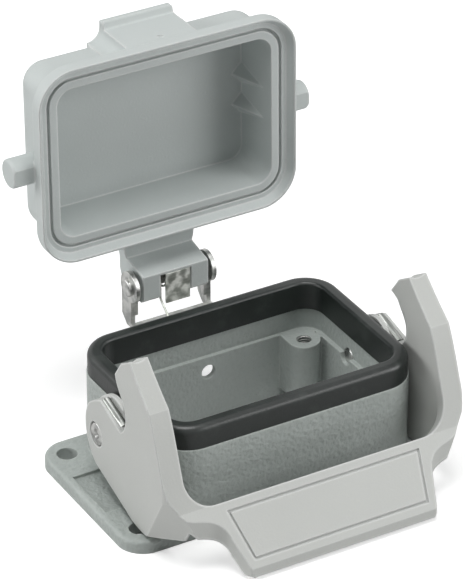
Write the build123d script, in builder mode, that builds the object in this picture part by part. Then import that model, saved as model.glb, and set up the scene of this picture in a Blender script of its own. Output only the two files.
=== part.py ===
from build123d import *
import os
from math import cos, radians, sin

os.makedirs("parts", exist_ok=True)

# Bulkhead housing of a heavy duty rectangular connector, two-row size with a 44 x 27 mm insert
# grid, with a hinged protective cover and one locking lever. Millimetres, +Z up. The origin is
# the centre of the flange's underside, X runs along the long side, +Y points to the hinge.
# The cover and the lever both stand open, as they rest.

# Mounting flange
FLANGE_END_LEDGE = 9.6
FLANGE_SIDE_LEDGE = 0.1
FLANGE_THICKNESS = 3.0
FLANGE_CORNER = 6.0
FLANGE_EDGE = 0.9
MOUNT_HOLE = 4.5
MOUNT_EDGE_X = 4.9
MOUNT_EDGE_Y = 5.5
END_RECESS_WIDTH = 15.0
END_RECESS_DEPTH = 0.7
END_RECESS_BORDER = 1.7

# Upright wall of the housing and the opening inside it
WALL_END = 4.3
WALL_SIDE = 3.9
WALL_HEIGHT = 21.7
WALL_CORNER = 8.0
OPENING_LENGTH = 52.0
OPENING_WIDTH = 35.0
LEDGE_END = 1.0
LEDGE_SIDE = 0.7
OPENING_CORNER = 3.5
UPPER_CORNER = 4.5
LEDGE_HEIGHT = 15.4

# Screw bosses for the contact insert
INSERT_SPACING_X = 44.0
INSERT_SPACING_Y = 27.0
BOSS_DIAMETER = 7.2
BOSS_FOOT = 2.0
INSERT_THREAD_CORE = 3.3
INSERT_THREAD_DEPTH = 11.0
BOSS_WEB = 2.0

# Vent hole in the hinge side and the relief pocket behind it
VENT_X = 0.5
VENT_DIAMETER = 3.4
VENT_HEIGHT = 11.6
VENT_SKIN = 1.3
VENT_POCKET_WIDTH = 10.0
VENT_POCKET_HEIGHT = 11.0

# Rubber seal on the rim, a cap over a tongue of the wall
SEAL_SETBACK = 0.2
SEAL_WIDTH = 3.35
SEAL_TOP = 26.9
SEAL_INNER_FOOT = 20.3
SEAL_OUTER_ROUND = 1.5
SEAL_INNER_ROUND = 0.7
TONGUE_INSET = 1.1
TONGUE_THICKNESS = 1.2
TONGUE_TOP = 25.0
SEAT_GAP = 0.05

# Flat seal under the flange
FLANGE_SEAL_END = 0.5
FLANGE_SEAL_SIDE = 1.0
FLANGE_SEAL_CORNER = 7.5
FLANGE_SEAL_WIDTH = 2.2
FLANGE_SEAL_DEPTH = 1.4

# Lever pivots, one rivet through each end wall
PIVOT_Y = 3.0
PIVOT_Z = 15.3
PIVOT_DIAMETER = 3.6
PIVOT_HEAD_DIAMETER = 5.0
PIVOT_HEAD_HEIGHT = 0.9
PIVOT_HEAD_DIMPLE = 2.2
PIVOT_BOSS_DIAMETER = 9.0
PIVOT_BOSS_HEIGHT = 0.3
PIVOT_RUNNING_FIT = 0.05
PIVOT_INNER_RECESS = 0.1
PIVOT_HEAD_SINK = 1.1
WASHER_THICKNESS = 0.5
WASHER_DIAMETER = 8.0
WASHER_PLAY = 0.1

# Locking lever: two hooked arms and a tilted handle plate, one moulding
ARM_LEDGE_WIDTH = 1.1
ARM_THICKNESS = 3.7
ARM_FLARE_PER_MM = 0.04
ARM_SHOULDER_Y = -27.5
SHOULDER_CUT_Z = 16.0
TIP_SCOOP_RADIUS = 3.0
TIP_SCOOP_X = 33.3
TIP_SCOOP_DEPTH = 0.5
WINDOW_CORNER = 6.3
HANDLE_TOP_Y = -30.2
HANDLE_TOP_Z = 13.9
HANDLE_TILT = 46.9
HANDLE_LENGTH = 14.9
HANDLE_THICKNESS = 3.0
HANDLE_LIP = 2.1
HANDLE_CORNER = 2.0
LABEL_TOP = 1.9
LABEL_TOP_HALF = 23.1
LABEL_END = 13.2
LABEL_END_HALF = 20.9
LABEL_DEPTH = 0.35
LABEL_LINE = 0.5

# Spring steel pin that lies along the floor of each hook's notch
LATCH_PIN_DIAMETER = 2.0
LATCH_PIN_PROUD = 0.5
LATCH_PIN_LENGTH = 8.4

# Hinge: axis, bracket, pin
HINGE_Y = 34.0
HINGE_Z = 27.3
OPEN_ANGLE = 91.0
HINGE_PIN_DIAMETER = 2.4
HINGE_PIN_HEAD = 4.0
HINGE_PIN_HEAD_HEIGHT = 0.8
HINGE_RUNNING_FIT = 0.06
BRACKET_SHEET = 1.0
BRACKET_HALF_WIDTH = 9.9
BRACKET_SHELF_TOP = 18.5
BRACKET_SHELF_END = 33.2
BRACKET_EYE_RADIUS = 3.6
BRACKET_STRAP_FRONT = 33.1
BRACKET_STRAP_REAR = 37.2
BRACKET_FOOT_BOTTOM = 4.5
BRACKET_FLANGE_WIDTH = 0.75
BRACKET_FLANGE_LENGTH = 4.8
BRACKET_FLANGE_Z = 22.8
BRACKET_SCREW_X = 7.4
BRACKET_SCREW_Z = 10.5
BRACKET_SCREW_DIAMETER = 2.5
BRACKET_SCREW_HEAD = 4.4
BRACKET_SCREW_HEAD_HEIGHT = 1.3
BRACKET_SCREW_LENGTH = 3.0

# Cover, drawn closed over the seal and then swung open about the hinge
COVER_GAP = 0.2
COVER_OVERHANG_X = 0.65
COVER_OVERHANG_Y = 1.4
COVER_LIP_HEIGHT = 3.6
COVER_LIP_CORNER = 8.5
COVER_SEAT_DEPTH = 1.8
COVER_SKIRT_LAND = 0.45
COVER_SKIRT_SLOPE = 1.0
COVER_HEIGHT = 16.2
COVER_LIP_REACH_X = 3.0
COVER_LIP_REACH_Y = 3.2
COVER_ROOF = 2.0
COVER_WALL_X = 2.1
COVER_WALL_Y = 2.0
COVER_CAVITY_CORNER = 3.8
COVER_DRAFT = 1.5
COVER_ROOF_ROUND = 3.4
COVER_GROOVE_INSET_X = 2.65
COVER_GROOVE_INSET_Y = 2.75
COVER_GROOVE_CORNER = 6.0
COVER_GROOVE_WIDTH = 0.7
COVER_GROOVE_DEPTH = 0.9
RIB_PITCH = 7.4
RIB_WIDTH = 7.0
RIB_REACH = 3.0
RIB_MOUTH = 4.0

# Locking pegs on the cover's end walls
PEG_RADIUS = 3.25
PEG_HEIGHT = 5.5
PEG_Y = 0.6
PEG_TIP = 35.9
PEG_FLAT = 2.75
PEG_TIP_CHAMFER = 0.6

# Finger tab on the cover's free side: a block flush with the skirt, with a lip along its top
TAB_HALF_WIDTH = 8.4
TAB_FLARE = 3.1
TAB_REACH = 1.6
TAB_TOP = 15.3
TAB_LIP_UNDERSIDE = 13.2
TAB_MARK_X = 0.4
TAB_MARK_DEPTH = 4.6
TAB_MARK_DIAMETER = 1.4

# Hinge knuckle of the cover
KNUCKLE_SIDE_GAP = 0.9
KNUCKLE_FRONT = 3.4
KNUCKLE_BOTTOM = 3.2
KNUCKLE_REAR = 3.4
NECK_UNDERSIDE = 6.1
NECK_THICKNESS = 3.4
NECK_ROOT_SETBACK = 2.4
NECK_ROOT_FLARE = 1.4
SPRING_SLOT_HALF = 3.8
SPRING_SLOT_SKIN = 0.6

# Steel leaf in the knuckle's slot and the wire spring round the hinge pin
LEAF_RIGHT = 3.4
LEAF_LEFT = -2.5
LEAF_THICKNESS = 0.5
LEAF_DROP = 5.0
WIRE_DIAMETER = 0.5
COIL_RADIUS = 1.75
COIL_TURNS = 4
COIL_RIGHT = 2.9
COIL_LEFT = -3.1
SPRING_TAIL = 2.2
SPRING_LEG_DROP = 3.9
SPRING_LEG_REACH = 6.0

# Side outlines of the lever, (y, z) with the lever open
HOOK_TIP = ((-6.6, 35.6), (-9.5, 39.7), (-13.4, 42.2))
OUTER_NOTCH_TOP = ((6.2, 21.4), (4.5, 22.8), (0.8, 24.9))
OUTER_NOTCH_FLOOR = ((0.8, 24.9), (-8.4, 22.4))
OUTER_NOTCH_SIDE = ((-8.4, 22.4), (-11.1, 26.0), (-10.9, 29.0), (-8.2, 32.6), (-6.6, 35.6))
INNER_NOTCH_TOP = ((6.2, 21.4), (3.6, 23.9), (-0.2, 25.5), (-4.3, 24.4))
INNER_NOTCH_FLOOR = ((-4.3, 24.4), (-5.0, 23.3), (-8.4, 22.4))
INNER_NOTCH_SIDE = ((-8.4, 22.4), (-12.0, 25.4), (-13.3, 29.2), (-11.4, 32.9), (-6.6, 35.6))
HOOK_BACK = ((-13.4, 42.2), (-15.9, 39.8), (-18.7, 37.3), (-22.1, 34.5))
ARM_FRONT = ((-22.1, 34.5), (-24.05, 30.15), (-25.7, 25.8), (-28.5, 18.2), (-30.2, 13.9))
ARM_NOSE = ((-30.2, 13.9), (-31.8, 12.2), (-31.8, 7.6))
ARM_UNDERSIDE = ((-31.8, 7.6), (-29.0, 6.3), (-25.2, 5.1), (-20.7, 3.9), (-15.5, 3.5), (-11.0, 4.4))
LOBE_BOTTOM = (3.4, 7.9)
LOBE_REAR = (7.9, 14.8)
LOBE_TOP = (6.2, 21.4)
BAR_FRONT = ((-27.4, 21.0), (-28.5, 18.2), (-30.2, 13.9))

# Plan outline of the lever's right half from the shoulder to the handle's end, (x, y)
SHOULDER_CURVE = ((34.6, -29.8), (31.9, -31.35), (28.4, -32.1), (26.1, -32.9), (24.8, -34.0), (24.2, -35.4))
HANDLE_SIDE = ((24.2, -35.4), (22.0, -41.2), (0, -41.2))

UPPER_LENGTH = OPENING_LENGTH + 2 * LEDGE_END
UPPER_WIDTH = OPENING_WIDTH + 2 * LEDGE_SIDE
WALL_LENGTH = OPENING_LENGTH + 2 * WALL_END
WALL_WIDTH = OPENING_WIDTH + 2 * WALL_SIDE
FLANGE_LENGTH = WALL_LENGTH + 2 * FLANGE_END_LEDGE
FLANGE_WIDTH = WALL_WIDTH + 2 * FLANGE_SIDE_LEDGE
FLANGE_SEAL_LENGTH = WALL_LENGTH - 2 * FLANGE_SEAL_END
FLANGE_SEAL_BREADTH = FLANGE_WIDTH - 2 * FLANGE_SEAL_SIDE
MOUNT_SPACING_X = FLANGE_LENGTH - 2 * MOUNT_EDGE_X
MOUNT_SPACING_Y = FLANGE_WIDTH - 2 * MOUNT_EDGE_Y
PIVOT_BOSS_FACE = WALL_LENGTH / 2 + PIVOT_BOSS_HEIGHT
ARM_INNER_FACE = PIVOT_BOSS_FACE + WASHER_THICKNESS + WASHER_PLAY
ARM_LEDGE_FACE = ARM_INNER_FACE + ARM_LEDGE_WIDTH
ARM_OUTER_FACE = ARM_INNER_FACE + ARM_THICKNESS
PIVOT_INNER_END = UPPER_LENGTH / 2 - PIVOT_INNER_RECESS
PIVOT_HEAD_SEAT = ARM_OUTER_FACE - PIVOT_HEAD_SINK
LATCH_PIN_X = ARM_LEDGE_FACE + 0.1 + LATCH_PIN_DIAMETER / 2
COVER_HALF_LENGTH = WALL_LENGTH / 2 + COVER_OVERHANG_X
COVER_HALF_WIDTH = WALL_WIDTH / 2 + COVER_OVERHANG_Y
COVER_GROOVE_X = COVER_HALF_LENGTH - COVER_GROOVE_INSET_X
COVER_GROOVE_Y = COVER_HALF_WIDTH - COVER_GROOVE_INSET_Y
NECK_ROOT_Y = COVER_HALF_WIDTH - NECK_ROOT_SETBACK
KNUCKLE_HALF_WIDTH = BRACKET_HALF_WIDTH - BRACKET_SHEET - KNUCKLE_SIDE_GAP
COVER_Z = SEAL_TOP + COVER_GAP - COVER_SEAT_DEPTH
HINGE_AXIS = Axis((0, HINGE_Y, HINGE_Z), (1, 0, 0))
TONGUE_OUTER_LENGTH = WALL_LENGTH - 2 * (SEAL_SETBACK + TONGUE_INSET)
TONGUE_OUTER_WIDTH = WALL_WIDTH - 2 * (SEAL_SETBACK + TONGUE_INSET)
TONGUE_CORNER = WALL_CORNER - SEAL_SETBACK - TONGUE_INSET
SEAL_LENGTH = WALL_LENGTH - 2 * SEAL_SETBACK
SEAL_BREADTH = WALL_WIDTH - 2 * SEAL_SETBACK
SEAL_CORNER = WALL_CORNER - SEAL_SETBACK
BRACKET_BACK = WALL_WIDTH / 2


def ring_sketch(length, width, corner, inset):
    """A rounded rectangle with a like one, inset on every side, taken out of it."""
    RectangleRounded(length, width, corner)
    RectangleRounded(length - 2 * inset, width - 2 * inset, max(corner - inset, 0.5), mode=Mode.SUBTRACT)


# Housing: one zinc or aluminium pressure casting
with BuildPart() as housing:
    with BuildSketch():
        RectangleRounded(FLANGE_LENGTH, FLANGE_WIDTH, FLANGE_CORNER)
    extrude(amount=FLANGE_THICKNESS)
    fillet(housing.edges().group_by(Axis.Z)[-1], FLANGE_EDGE)
    with BuildSketch():
        RectangleRounded(WALL_LENGTH, WALL_WIDTH, WALL_CORNER)
    extrude(amount=WALL_HEIGHT)
    with BuildSketch(Plane.XY.offset(WALL_HEIGHT)):
        RectangleRounded(TONGUE_OUTER_LENGTH, TONGUE_OUTER_WIDTH, TONGUE_CORNER)
    extrude(amount=TONGUE_TOP - WALL_HEIGHT)
    # raised spacer round each pivot, on the end walls
    with BuildSketch(Plane.YZ.offset(-PIVOT_BOSS_FACE)):
        with Locations((PIVOT_Y, PIVOT_Z)):
            Circle(PIVOT_BOSS_DIAMETER / 2)
    extrude(amount=2 * PIVOT_BOSS_FACE)
    # the opening: narrow below the ledge, wider above it, widest behind the seal's inner leg
    with BuildSketch():
        RectangleRounded(OPENING_LENGTH, OPENING_WIDTH, OPENING_CORNER)
    extrude(amount=TONGUE_TOP, mode=Mode.SUBTRACT)
    with BuildSketch(Plane.XY.offset(LEDGE_HEIGHT)):
        RectangleRounded(UPPER_LENGTH, UPPER_WIDTH, UPPER_CORNER)
    extrude(amount=TONGUE_TOP - LEDGE_HEIGHT, mode=Mode.SUBTRACT)
    with BuildSketch(Plane.XY.offset(SEAL_INNER_FOOT)):
        RectangleRounded(
            TONGUE_OUTER_LENGTH - 2 * TONGUE_THICKNESS,
            TONGUE_OUTER_WIDTH - 2 * TONGUE_THICKNESS,
            TONGUE_CORNER - TONGUE_THICKNESS,
        )
    extrude(amount=TONGUE_TOP - SEAL_INNER_FOOT, mode=Mode.SUBTRACT)
    # four screw bosses, each tied to the long wall by a web
    with BuildSketch(Plane.XY.offset(BOSS_FOOT)):
        with GridLocations(INSERT_SPACING_X, INSERT_SPACING_Y, 2, 2):
            Circle(BOSS_DIAMETER / 2)
    extrude(amount=LEDGE_HEIGHT - BOSS_FOOT)
    web_length = (OPENING_WIDTH - INSERT_SPACING_Y) / 2
    with BuildSketch(Plane.XY.offset(BOSS_FOOT)):
        with GridLocations(INSERT_SPACING_X, INSERT_SPACING_Y + web_length, 2, 2):
            Rectangle(BOSS_DIAMETER, web_length)
        with GridLocations((OPENING_LENGTH + INSERT_SPACING_X) / 2, INSERT_SPACING_Y, 2, 2):
            Rectangle(OPENING_LENGTH / 2 - INSERT_SPACING_X / 2, BOSS_WEB)
    extrude(amount=LEDGE_HEIGHT - BOSS_FOOT)
    with Locations(Plane.XY.offset(LEDGE_HEIGHT)):
        with GridLocations(INSERT_SPACING_X, INSERT_SPACING_Y, 2, 2):
            Hole(INSERT_THREAD_CORE / 2, INSERT_THREAD_DEPTH)
    # mounting holes and the shallow recess between them at each end
    with Locations(Plane.XY.offset(FLANGE_THICKNESS)):
        with GridLocations(MOUNT_SPACING_X, MOUNT_SPACING_Y, 2, 2):
            Hole(MOUNT_HOLE / 2, FLANGE_THICKNESS)
    recess_length = (FLANGE_LENGTH - WALL_LENGTH) / 2 - END_RECESS_BORDER
    with BuildSketch(Plane.XY.offset(FLANGE_THICKNESS)):
        with GridLocations(WALL_LENGTH + recess_length, 1, 2, 1):
            Rectangle(recess_length, END_RECESS_WIDTH)
    extrude(amount=-END_RECESS_DEPTH, mode=Mode.SUBTRACT)
    # pivot holes through both end walls
    with BuildSketch(Plane.YZ.offset(-ARM_INNER_FACE)):
        with Locations((PIVOT_Y, PIVOT_Z)):
            Circle(PIVOT_DIAMETER / 2 + SEAT_GAP / 2)
    extrude(amount=2 * ARM_INNER_FACE, mode=Mode.SUBTRACT)
    # vent hole, with the wall thinned by a pocket outside
    with BuildSketch(Plane.XZ.offset(-WALL_WIDTH / 2)):
        with Locations((0, VENT_HEIGHT - 1.0)):
            RectangleRounded(VENT_POCKET_WIDTH, VENT_POCKET_HEIGHT, 1.5)
    extrude(amount=(WALL_WIDTH - OPENING_WIDTH) / 2 - VENT_SKIN, mode=Mode.SUBTRACT)
    with BuildSketch(Plane.XZ.offset(-WALL_WIDTH / 2)):
        with Locations((VENT_X, VENT_HEIGHT)):
            Circle(VENT_DIAMETER / 2)
    extrude(amount=WALL_WIDTH - OPENING_WIDTH, mode=Mode.SUBTRACT)
    # pilot holes of the bracket's screws
    with BuildSketch(Plane.XZ.offset(-WALL_WIDTH / 2)):
        with Locations((-BRACKET_SCREW_X, BRACKET_SCREW_Z), (BRACKET_SCREW_X, BRACKET_SCREW_Z)):
            Circle(BRACKET_SCREW_DIAMETER / 2 + SEAT_GAP / 2)
    extrude(amount=BRACKET_SCREW_LENGTH - BRACKET_SHEET + SEAT_GAP, mode=Mode.SUBTRACT)
    # groove for the flange seal
    with BuildSketch():
        ring_sketch(FLANGE_SEAL_LENGTH, FLANGE_SEAL_BREADTH, FLANGE_SEAL_CORNER, FLANGE_SEAL_WIDTH)
    extrude(amount=FLANGE_SEAL_DEPTH + SEAT_GAP, mode=Mode.SUBTRACT)
housing.part.label = "housing"
export_step(housing.part, "parts/housing.step")

# Rim seal: a rubber cap that straddles the wall's tongue
with BuildPart() as rim_seal:
    with BuildSketch(Plane.XY.offset(SEAL_INNER_FOOT + SEAT_GAP)):
        ring_sketch(SEAL_LENGTH, SEAL_BREADTH, SEAL_CORNER, SEAL_WIDTH)
    extrude(amount=SEAL_TOP - SEAL_INNER_FOOT - SEAT_GAP)
    fillet(rim_seal.faces().sort_by(Axis.Z)[-1].outer_wire().edges(), SEAL_OUTER_ROUND)
    fillet(rim_seal.faces().sort_by(Axis.Z)[-1].inner_wires()[0].edges(), SEAL_INNER_ROUND)
    # the tongue's slot, and the outer leg cut back to the wall's shoulder
    with BuildSketch(Plane.XY.offset(SEAL_INNER_FOOT)):
        ring_sketch(
            TONGUE_OUTER_LENGTH + 2 * SEAT_GAP,
            TONGUE_OUTER_WIDTH + 2 * SEAT_GAP,
            TONGUE_CORNER + SEAT_GAP,
            TONGUE_THICKNESS + 2 * SEAT_GAP,
        )
    extrude(amount=TONGUE_TOP - SEAL_INNER_FOOT + SEAT_GAP, mode=Mode.SUBTRACT)
    with BuildSketch(Plane.XY.offset(SEAL_INNER_FOOT)):
        ring_sketch(
            WALL_LENGTH + 1,
            WALL_WIDTH + 1,
            WALL_CORNER,
            SEAL_SETBACK + TONGUE_INSET + TONGUE_THICKNESS / 2 + 0.5,
        )
    extrude(amount=WALL_HEIGHT - SEAL_INNER_FOOT, mode=Mode.SUBTRACT)
rim_seal.part.label = "rim_seal"
export_step(rim_seal.part, "parts/rim_seal.step")

# Flange seal: a flat rubber ring, flush with the underside
with BuildPart() as flange_seal:
    with BuildSketch():
        ring_sketch(
            FLANGE_SEAL_LENGTH - SEAT_GAP,
            FLANGE_SEAL_BREADTH - SEAT_GAP,
            FLANGE_SEAL_CORNER,
            FLANGE_SEAL_WIDTH - SEAT_GAP,
        )
    extrude(amount=FLANGE_SEAL_DEPTH)
flange_seal.part.label = "flange_seal"
export_step(flange_seal.part, "parts/flange_seal.step")

# Hinge bracket: folded from one stainless sheet, with two feet, a shelf and two eared straps
with BuildPart() as hinge_bracket:
    with BuildSketch(Plane.XY.offset(BRACKET_SHELF_TOP)):
        with Locations((0, (BRACKET_BACK + BRACKET_SHELF_END) / 2)):
            Rectangle(2 * BRACKET_HALF_WIDTH, BRACKET_SHELF_END - BRACKET_BACK)
    extrude(amount=-BRACKET_SHEET)
    foot_width = BRACKET_HALF_WIDTH - VENT_POCKET_WIDTH / 2 - 0.2
    with BuildSketch(Plane.XZ.offset(-BRACKET_BACK)):
        with Locations((0, BRACKET_SHELF_TOP)):
            with GridLocations(2 * BRACKET_HALF_WIDTH - foot_width, 1, 2, 1):
                Rectangle(
                    foot_width,
                    BRACKET_SHELF_TOP - BRACKET_FOOT_BOTTOM,
                    align=(Align.CENTER, Align.MAX),
                )
    extrude(amount=-BRACKET_SHEET)
    fillet(
        hinge_bracket.edges().filter_by(Axis.Y).group_by(Axis.Z)[0],
        1.5,
    )
    for side in (1, -1):
        with BuildSketch(Plane.YZ.offset(side * BRACKET_HALF_WIDTH)):
            with Locations((HINGE_Y, HINGE_Z)):
                Circle(BRACKET_EYE_RADIUS)
            with BuildLine():
                Polyline(
                    (BRACKET_STRAP_FRONT, HINGE_Z),
                    (BRACKET_STRAP_FRONT, BRACKET_SHELF_TOP),
                    (BRACKET_STRAP_FRONT - 1, BRACKET_SHELF_TOP),
                    (BRACKET_STRAP_FRONT - 1, BRACKET_SHELF_TOP - BRACKET_SHEET),
                    (BRACKET_STRAP_REAR - 2.1, BRACKET_SHELF_TOP - BRACKET_SHEET),
                    (BRACKET_STRAP_REAR, BRACKET_SHELF_TOP + 1),
                    (BRACKET_STRAP_REAR, HINGE_Z),
                    close=True,
                )
            make_face()
        extrude(amount=-side * BRACKET_SHEET)
        with BuildSketch(Plane.XZ.offset(-BRACKET_STRAP_FRONT)):
            with Locations((side * (BRACKET_HALF_WIDTH - BRACKET_SHEET / 2), BRACKET_FLANGE_Z)):
                Rectangle(
                    BRACKET_FLANGE_WIDTH + BRACKET_SHEET / 2,
                    BRACKET_FLANGE_LENGTH,
                    align=(Align.MAX if side > 0 else Align.MIN, Align.CENTER),
                )
        extrude(amount=-BRACKET_SHEET)
    with BuildSketch(Plane.YZ.offset(-BRACKET_HALF_WIDTH)):
        with Locations((HINGE_Y, HINGE_Z)):
            Circle(HINGE_PIN_DIAMETER / 2 + SEAT_GAP / 2)
    extrude(amount=2 * BRACKET_HALF_WIDTH, mode=Mode.SUBTRACT)
    with BuildSketch(Plane.XZ.offset(-BRACKET_BACK)):
        with Locations((-BRACKET_SCREW_X, BRACKET_SCREW_Z), (BRACKET_SCREW_X, BRACKET_SCREW_Z)):
            Circle(BRACKET_SCREW_DIAMETER / 2 + SEAT_GAP / 2)
    extrude(amount=-BRACKET_SHEET, mode=Mode.SUBTRACT)
hinge_bracket.part.label = "hinge_bracket"
export_step(hinge_bracket.part, "parts/hinge_bracket.step")

# Two pan head screws that hold the bracket's feet
with BuildPart() as bracket_screws:
    for side in (1, -1):
        with BuildSketch(Plane.XZ.offset(-BRACKET_BACK - BRACKET_SHEET)):
            with Locations((side * BRACKET_SCREW_X, BRACKET_SCREW_Z)):
                Circle(BRACKET_SCREW_DIAMETER / 2)
        extrude(amount=BRACKET_SCREW_LENGTH)
        with BuildSketch(Plane.XZ.offset(-BRACKET_BACK - BRACKET_SHEET)):
            with Locations((side * BRACKET_SCREW_X, BRACKET_SCREW_Z)):
                Circle(BRACKET_SCREW_HEAD / 2)
        extrude(amount=-BRACKET_SCREW_HEAD_HEIGHT)
    fillet(bracket_screws.edges().filter_by(GeomType.CIRCLE).group_by(Axis.Y)[-1], 0.7)
    with BuildSketch(Plane.XZ.offset(-BRACKET_BACK - BRACKET_SHEET - BRACKET_SCREW_HEAD_HEIGHT)):
        with Locations((-BRACKET_SCREW_X, BRACKET_SCREW_Z), (BRACKET_SCREW_X, BRACKET_SCREW_Z)):
            Rectangle(2.2, 0.6)
            Rectangle(0.6, 2.2)
    extrude(amount=0.8, mode=Mode.SUBTRACT)
bracket_screws.part.label = "bracket_screws"
export_step(bracket_screws.part, "parts/bracket_screws.step")

# Hinge pin, headed at both ends
with BuildPart() as hinge_pin:
    with BuildSketch(Plane.YZ.offset(-BRACKET_HALF_WIDTH - HINGE_PIN_HEAD_HEIGHT)):
        with Locations((HINGE_Y, HINGE_Z)):
            Circle(HINGE_PIN_HEAD / 2)
    extrude(amount=HINGE_PIN_HEAD_HEIGHT)
    with BuildSketch(Plane.YZ.offset(BRACKET_HALF_WIDTH)):
        with Locations((HINGE_Y, HINGE_Z)):
            Circle(HINGE_PIN_HEAD / 2)
    extrude(amount=HINGE_PIN_HEAD_HEIGHT)
    fillet(
        hinge_pin.edges().group_by(Axis.X)[0] + hinge_pin.edges().group_by(Axis.X)[-1],
        0.5,
    )
    with BuildSketch(Plane.YZ.offset(-BRACKET_HALF_WIDTH)):
        with Locations((HINGE_Y, HINGE_Z)):
            Circle(HINGE_PIN_DIAMETER / 2)
    extrude(amount=2 * BRACKET_HALF_WIDTH)
hinge_pin.part.label = "hinge_pin"
export_step(hinge_pin.part, "parts/hinge_pin.step")

# Wire spring: coils round the pin in the knuckle's slot, one leg down to the bracket's shelf
coil = Helix(
    pitch=(COIL_RIGHT - COIL_LEFT) / COIL_TURNS,
    height=COIL_RIGHT - COIL_LEFT,
    radius=COIL_RADIUS,
    center=(COIL_RIGHT, HINGE_Y, HINGE_Z),
    direction=(-1, 0, 0),
    lefthand=True,
).rotate(HINGE_AXIS, -90)
front_y = HINGE_Y - COIL_RADIUS
with BuildPart() as hinge_spring:
    with BuildSketch(Plane(coil @ 0, z_dir=coil % 0)):
        Circle(WIRE_DIAMETER / 2)
    sweep(path=coil, is_frenet=True)
    with BuildLine() as leg:
        FilletPolyline(
            (COIL_LEFT, front_y, HINGE_Z),
            (COIL_LEFT, front_y, HINGE_Z - SPRING_LEG_DROP),
            (COIL_LEFT, front_y - SPRING_LEG_REACH, BRACKET_SHELF_TOP + WIRE_DIAMETER / 2 + SEAT_GAP),
            radius=0.8,
        )
    with BuildSketch(Plane(leg.line @ 0, z_dir=leg.line % 0)):
        Circle(WIRE_DIAMETER / 2)
    sweep(path=leg.line)
    with BuildSketch(Plane.XY.offset(HINGE_Z)):
        with Locations((COIL_RIGHT, front_y)):
            Circle(WIRE_DIAMETER / 2)
    extrude(amount=SPRING_TAIL)
    with Locations((COIL_RIGHT, front_y, HINGE_Z), (COIL_LEFT, front_y, HINGE_Z)):
        Sphere(WIRE_DIAMETER / 2)
hinge_spring.part.label = "hinge_spring"
export_step(hinge_spring.part, "parts/hinge_spring.step")

# Rivets on which the lever turns, and the washers that space it from the wall
for name, side in (("left", -1), ("right", 1)):
    with BuildPart() as pivot_pin:
        with BuildSketch(Plane.YZ.offset(side * PIVOT_INNER_END)):
            with Locations((PIVOT_Y, PIVOT_Z)):
                Circle(PIVOT_DIAMETER / 2)
        extrude(amount=side * (PIVOT_HEAD_SEAT - PIVOT_INNER_END))
        with BuildSketch(Plane.YZ.offset(side * PIVOT_HEAD_SEAT)):
            with Locations((PIVOT_Y, PIVOT_Z)):
                Circle(PIVOT_HEAD_DIAMETER / 2)
        extrude(amount=side * PIVOT_HEAD_HEIGHT)
        outer_end = pivot_pin.faces().sort_by(Axis.X)[-1 if side > 0 else 0]
        fillet(outer_end.outer_wire().edges(), 0.3)
        with BuildSketch(Plane.YZ.offset(side * (PIVOT_HEAD_SEAT + PIVOT_HEAD_HEIGHT))):
            with Locations((PIVOT_Y, PIVOT_Z)):
                Circle(PIVOT_HEAD_DIMPLE / 2)
        extrude(amount=-side * 1.2, taper=25, mode=Mode.SUBTRACT)
        inner_end = pivot_pin.faces().sort_by(Axis.X)[0 if side > 0 else -1]
        chamfer(inner_end.edges(), 0.3)
    pivot_pin.part.label = "pivot_pin_" + name
    export_step(pivot_pin.part, "parts/pivot_pin_" + name + ".step")
    with BuildPart() as pivot_washer:
        with BuildSketch(Plane.YZ.offset(side * PIVOT_BOSS_FACE)):
            with Locations((PIVOT_Y, PIVOT_Z)):
                Circle(WASHER_DIAMETER / 2)
                Circle(PIVOT_DIAMETER / 2 + PIVOT_RUNNING_FIT, mode=Mode.SUBTRACT)
        extrude(amount=side * WASHER_THICKNESS)
    pivot_washer.part.label = "pivot_washer_" + name
    export_step(pivot_washer.part, "parts/pivot_washer_" + name + ".step")

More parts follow.
